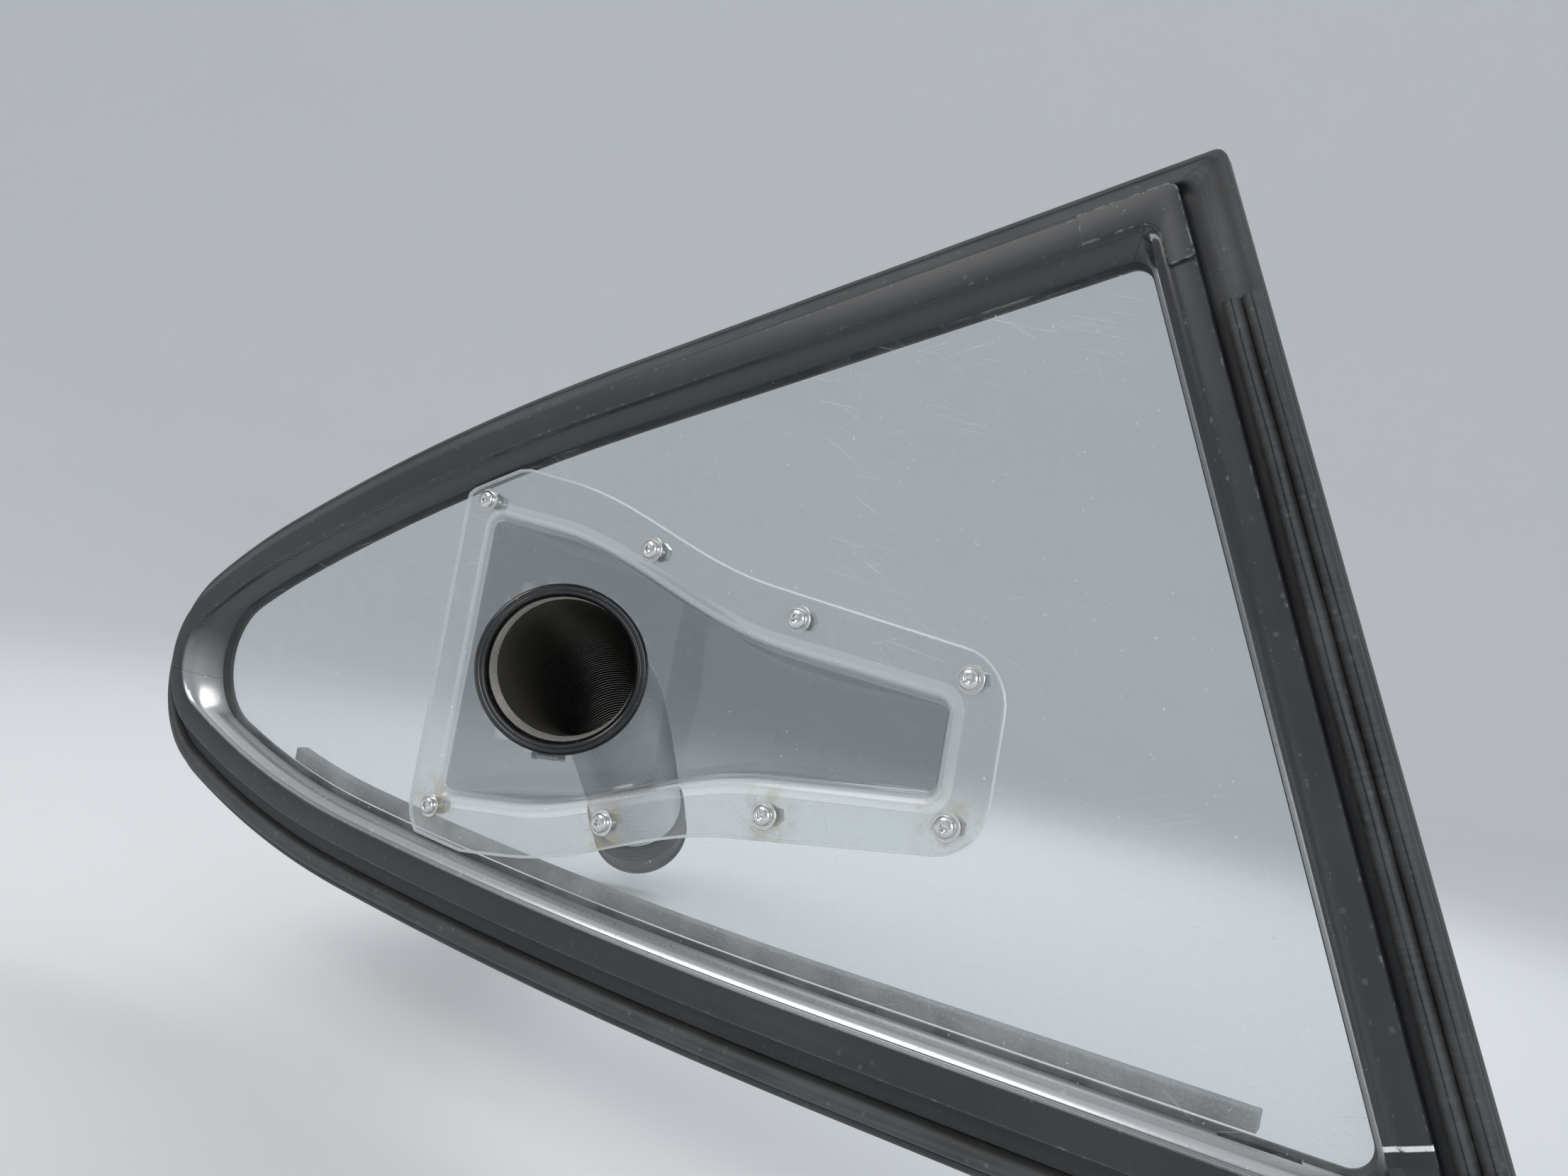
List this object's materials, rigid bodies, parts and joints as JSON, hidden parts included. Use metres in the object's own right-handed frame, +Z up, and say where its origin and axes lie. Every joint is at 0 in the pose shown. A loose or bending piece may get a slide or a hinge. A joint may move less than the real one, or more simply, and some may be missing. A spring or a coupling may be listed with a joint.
{
  "type": "vented rear quarter window of a sports car",
  "caption": "Clear rear quarter window with a black trim frame, rubber seal and a clear recessed air scoop that feeds a flexible duct hose.",
  "frame": {"origin": "on the flat back of the body gasket, at the middle of the bottom edge, in the plane of the body's window flange", "axes": "+X towards the front of the vehicle, +Y into the cabin, +Z up along the upright pane"},
  "size_m": [0.7575, 0.5191, 0.4386],
  "materials": {
    "clear_pane": "clear polycarbonate sheet, light haze and fine scratches",
    "black_trim": "satin black, slightly worn",
    "cap_trim": "satin black",
    "clip_steel": "thin bright edge",
    "gasket_rubber": "dusty grey-black rubber",
    "bedding_rubber": "matt",
    "grained_vinyl": "leather-grained dark grey",
    "strip_rubber": "ribbed, dusty",
    "clear_moulding": "clear thermoformed sheet, hazy with a bright cut edge",
    "spigot_plastic": "gloss black",
    "duct_foil": "corrugated foil, dull silver",
    "clamp_steel": "bright worm-drive band",
    "cuff_rubber": "matt black",
    "screw_chrome": "polished button head",
    "washer_steel": "bright",
    "nut_steel": "plain zinc"
  },
  "bodies": {
    "root": {"pane": "clear_pane", "trim_upper": "black_trim", "trim_lower": "black_trim", "trim_upright": "black_trim", "corner_cap": "cap_trim", "joint_clip": "clip_steel", "body_gasket": "gasket_rubber", "glazing_seal": "bedding_rubber", "inner_ledge": "grained_vinyl", "upright_strip": "strip_rubber", "scoop_moulding": "clear_moulding", "spigot_ring": "spigot_plastic", "duct_hose": "duct_foil", "hose_clamp": "clamp_steel", "hose_end_cuff": "cuff_rubber", "screw_1": "screw_chrome", "screw_2": "screw_chrome", "screw_3": "screw_chrome", "screw_4": "screw_chrome", "screw_5": "screw_chrome", "screw_6": "screw_chrome", "screw_7": "screw_chrome", "screw_8": "screw_chrome", "washer_1": "washer_steel", "washer_2": "washer_steel", "washer_3": "washer_steel", "washer_4": "washer_steel", "washer_5": "washer_steel", "washer_6": "washer_steel", "washer_7": "washer_steel", "washer_8": "washer_steel", "nut_1": "nut_steel", "nut_2": "nut_steel", "nut_3": "nut_steel", "nut_4": "nut_steel", "nut_5": "nut_steel", "nut_6": "nut_steel", "nut_7": "nut_steel", "nut_8": "nut_steel"}
  },
  "joints": []
}
